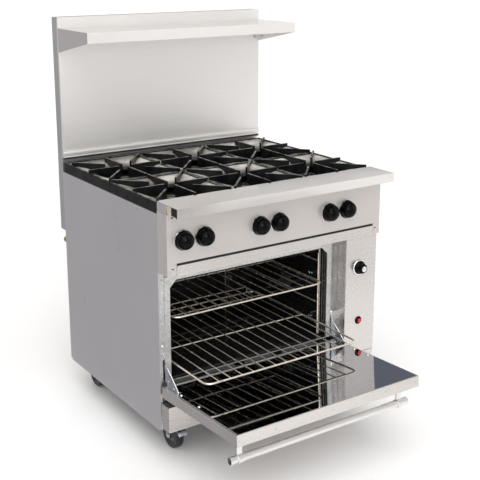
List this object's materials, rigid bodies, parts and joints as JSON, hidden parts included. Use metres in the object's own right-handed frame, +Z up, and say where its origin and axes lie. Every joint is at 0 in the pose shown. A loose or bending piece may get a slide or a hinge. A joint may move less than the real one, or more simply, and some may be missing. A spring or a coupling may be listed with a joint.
{
  "type": "commercial gas range",
  "caption": "Freestanding restaurant gas range: open burners under cast grates, an oven with racks behind a drop-down door, a service column, a riser with a high shelf, and casters.",
  "frame": {"origin": "on the floor, under the middle of the object's box with the oven door open", "axes": "+X to the right seen from the front, +Y towards the back, +Z up"},
  "size_m": [0.9144, 1.2496, 1.473],
  "materials": {
    "stainless": "satin brushed stainless sheet",
    "galvanised": "dull galvanised sheet",
    "mirror_steel": "polished",
    "cast_iron": "semi-gloss cast",
    "enamel": "gloss black porcelain enamel",
    "chrome": "bright plated wire",
    "steel": "plain mild steel",
    "brass": "machined",
    "black_plastic": "gloss moulded",
    "red_plastic": "gloss moulded",
    "zinc": "zinc plated pressed steel",
    "rubber": "matt black tread"
  },
  "bodies": {
    "range": {"base_frame": "steel", "left_side_panel": "stainless", "right_side_panel": "stainless", "rear_panel": "galvanised", "kick_panel": "stainless", "oven_front_frame": "galvanised", "service_column": "stainless", "valve_panel": "stainless", "landing_ledge": "stainless", "burner_box": "galvanised", "riser_front_panel": "stainless", "riser_flue_box": "stainless", "rear_shield": "stainless", "high_shelf": "stainless", "gas_manifold": "brass", "burner_front_left": "cast_iron", "burner_front_centre": "cast_iron", "burner_front_right": "cast_iron", "burner_rear_left": "cast_iron", "burner_rear_centre": "cast_iron", "burner_rear_right": "cast_iron", "oven_burner": "cast_iron", "thermostat_body": "steel", "igniter_body": "black_plastic", "oven_liner": "enamel", "oven_floor": "enamel", "rack_guide_left": "chrome", "rack_guide_right": "chrome"},
    "oven_door": {"door_outer_shell": "stainless", "door_liner": "mirror_steel", "door_handle": "stainless", "hinge_arm_left": "zinc", "hinge_arm_right": "zinc"},
    "lower_rack": {"lower_rack": "chrome"},
    "upper_rack": {"upper_rack": "chrome"},
    "crumb_tray": {"crumb_tray": "stainless"},
    "grate_front_left": {"grate_front_left": "cast_iron"},
    "grate_front_centre": {"grate_front_centre": "cast_iron"},
    "grate_front_right": {"grate_front_right": "cast_iron"},
    "grate_rear_left": {"grate_rear_left": "cast_iron"},
    "grate_rear_centre": {"grate_rear_centre": "cast_iron"},
    "grate_rear_right": {"grate_rear_right": "cast_iron"},
    "knob_1": {"knob_1": "black_plastic"},
    "knob_2": {"knob_2": "black_plastic"},
    "knob_3": {"knob_3": "black_plastic"},
    "knob_4": {"knob_4": "black_plastic"},
    "knob_5": {"knob_5": "black_plastic"},
    "knob_6": {"knob_6": "black_plastic"},
    "thermostat_knob": {"thermostat_knob": "black_plastic"},
    "igniter_button": {"igniter_button": "red_plastic"},
    "caster_1": {"caster_fork_1": "zinc"},
    "caster_2": {"caster_fork_2": "zinc"},
    "caster_3": {"caster_fork_3": "zinc"},
    "caster_4": {"caster_fork_4": "zinc"},
    "wheel_1": {"caster_wheel_1": "rubber"},
    "wheel_2": {"caster_wheel_2": "rubber"},
    "wheel_3": {"caster_wheel_3": "rubber"},
    "wheel_4": {"caster_wheel_4": "rubber"},
    "brake_1": {"brake_lever_1": "zinc"},
    "brake_2": {"brake_lever_2": "zinc"}
  },
  "joints": [
    {"name": "door_hinge", "type": "hinge", "parent": "range", "child": "oven_door", "pos_m": [-0.0811, -0.19773, 0.2505], "axis": [-1, 0, 0], "range_deg": [0, 87.4]},
    {"name": "lower_rack_slide", "type": "slide", "parent": "range", "child": "lower_rack", "axis": [0, 1, 0], "range_m": [0, 0.263]},
    {"name": "upper_rack_slide", "type": "slide", "parent": "range", "child": "upper_rack", "axis": [0, 1, 0], "range_m": [0, 0.06]},
    {"name": "crumb_tray_slide", "type": "slide", "parent": "range", "child": "crumb_tray", "axis": [0, -1, 0], "range_m": [0, 0.5]},
    {"name": "grate_front_left_lift", "type": "slide", "parent": "range", "child": "grate_front_left", "axis": [0, 0, 1], "range_m": [0, 0.1]},
    {"name": "grate_front_centre_lift", "type": "slide", "parent": "range", "child": "grate_front_centre", "axis": [0, 0, 1], "range_m": [0, 0.1]},
    {"name": "grate_front_right_lift", "type": "slide", "parent": "range", "child": "grate_front_right", "axis": [0, 0, 1], "range_m": [0, 0.1]},
    {"name": "grate_rear_left_lift", "type": "slide", "parent": "range", "child": "grate_rear_left", "axis": [0, 0, 1], "range_m": [0, 0.1]},
    {"name": "grate_rear_centre_lift", "type": "slide", "parent": "range", "child": "grate_rear_centre", "axis": [0, 0, 1], "range_m": [0, 0.1]},
    {"name": "grate_rear_right_lift", "type": "slide", "parent": "range", "child": "grate_rear_right", "axis": [0, 0, 1], "range_m": [0, 0.1]},
    {"name": "knob_1_turn", "type": "hinge", "parent": "range", "child": "knob_1", "pos_m": [-0.3956, -0.2222, 0.801], "axis": [0, -1, 0], "range_deg": [0, 90]},
    {"name": "knob_2_turn", "type": "hinge", "parent": "range", "child": "knob_2", "pos_m": [-0.3156, -0.2222, 0.801], "axis": [0, -1, 0], "range_deg": [0, 90]},
    {"name": "knob_3_turn", "type": "hinge", "parent": "range", "child": "knob_3", "pos_m": [-0.0908, -0.2222, 0.801], "axis": [0, -1, 0], "range_deg": [0, 90]},
    {"name": "knob_4_turn", "type": "hinge", "parent": "range", "child": "knob_4", "pos_m": [-0.0108, -0.2222, 0.801], "axis": [0, -1, 0], "range_deg": [0, 90]},
    {"name": "knob_5_turn", "type": "hinge", "parent": "range", "child": "knob_5", "pos_m": [0.214, -0.2222, 0.801], "axis": [0, -1, 0], "range_deg": [0, 90]},
    {"name": "knob_6_turn", "type": "hinge", "parent": "range", "child": "knob_6", "pos_m": [0.294, -0.2222, 0.801], "axis": [0, -1, 0], "range_deg": [0, 90]},
    {"name": "thermostat_turn", "type": "hinge", "parent": "range", "child": "thermostat_knob", "pos_m": [0.375, -0.211, 0.559], "axis": [0, 1, 0], "range_deg": [0, 270]},
    {"name": "igniter_push", "type": "slide", "parent": "range", "child": "igniter_button", "axis": [0, 1, 0], "range_m": [0, 0.004], "stiffness_N_per_m": 400, "springref_m": -0.002},
    {"name": "caster_1_swivel", "type": "hinge", "parent": "range", "child": "caster_1", "pos_m": [-0.378, -0.07023, 0.1272], "axis": [0, 0, 1], "continuous": true},
    {"name": "caster_2_swivel", "type": "hinge", "parent": "range", "child": "caster_2", "pos_m": [0.378, -0.07023, 0.1272], "axis": [0, 0, 1], "continuous": true},
    {"name": "caster_3_swivel", "type": "hinge", "parent": "range", "child": "caster_3", "pos_m": [-0.378, 0.46977, 0.1272], "axis": [0, 0, 1], "continuous": true},
    {"name": "caster_4_swivel", "type": "hinge", "parent": "range", "child": "caster_4", "pos_m": [0.378, 0.46977, 0.1272], "axis": [0, 0, 1], "continuous": true},
    {"name": "wheel_1_spin", "type": "hinge", "parent": "caster_1", "child": "wheel_1", "pos_m": [-0.378, -0.10023, 0.0508], "axis": [1, 0, 0], "continuous": true},
    {"name": "wheel_2_spin", "type": "hinge", "parent": "caster_2", "child": "wheel_2", "pos_m": [0.378, -0.10023, 0.0508], "axis": [1, 0, 0], "continuous": true},
    {"name": "wheel_3_spin", "type": "hinge", "parent": "caster_3", "child": "wheel_3", "pos_m": [-0.378, 0.49977, 0.0508], "axis": [1, 0, 0], "continuous": true},
    {"name": "wheel_4_spin", "type": "hinge", "parent": "caster_4", "child": "wheel_4", "pos_m": [0.378, 0.49977, 0.0508], "axis": [1, 0, 0], "continuous": true},
    {"name": "brake_1_press", "type": "hinge", "parent": "caster_1", "child": "brake_1", "pos_m": [-0.378, -0.09673, 0.1112], "axis": [1, 0, 0], "range_deg": [0, 10]},
    {"name": "brake_2_press", "type": "hinge", "parent": "caster_2", "child": "brake_2", "pos_m": [0.378, -0.09673, 0.1112], "axis": [1, 0, 0], "range_deg": [0, 10]}
  ],
  "couplings": [
    {"joint": "lower_rack_slide", "follows": "door_hinge", "m_per_rad": 0.1719}
  ]
}
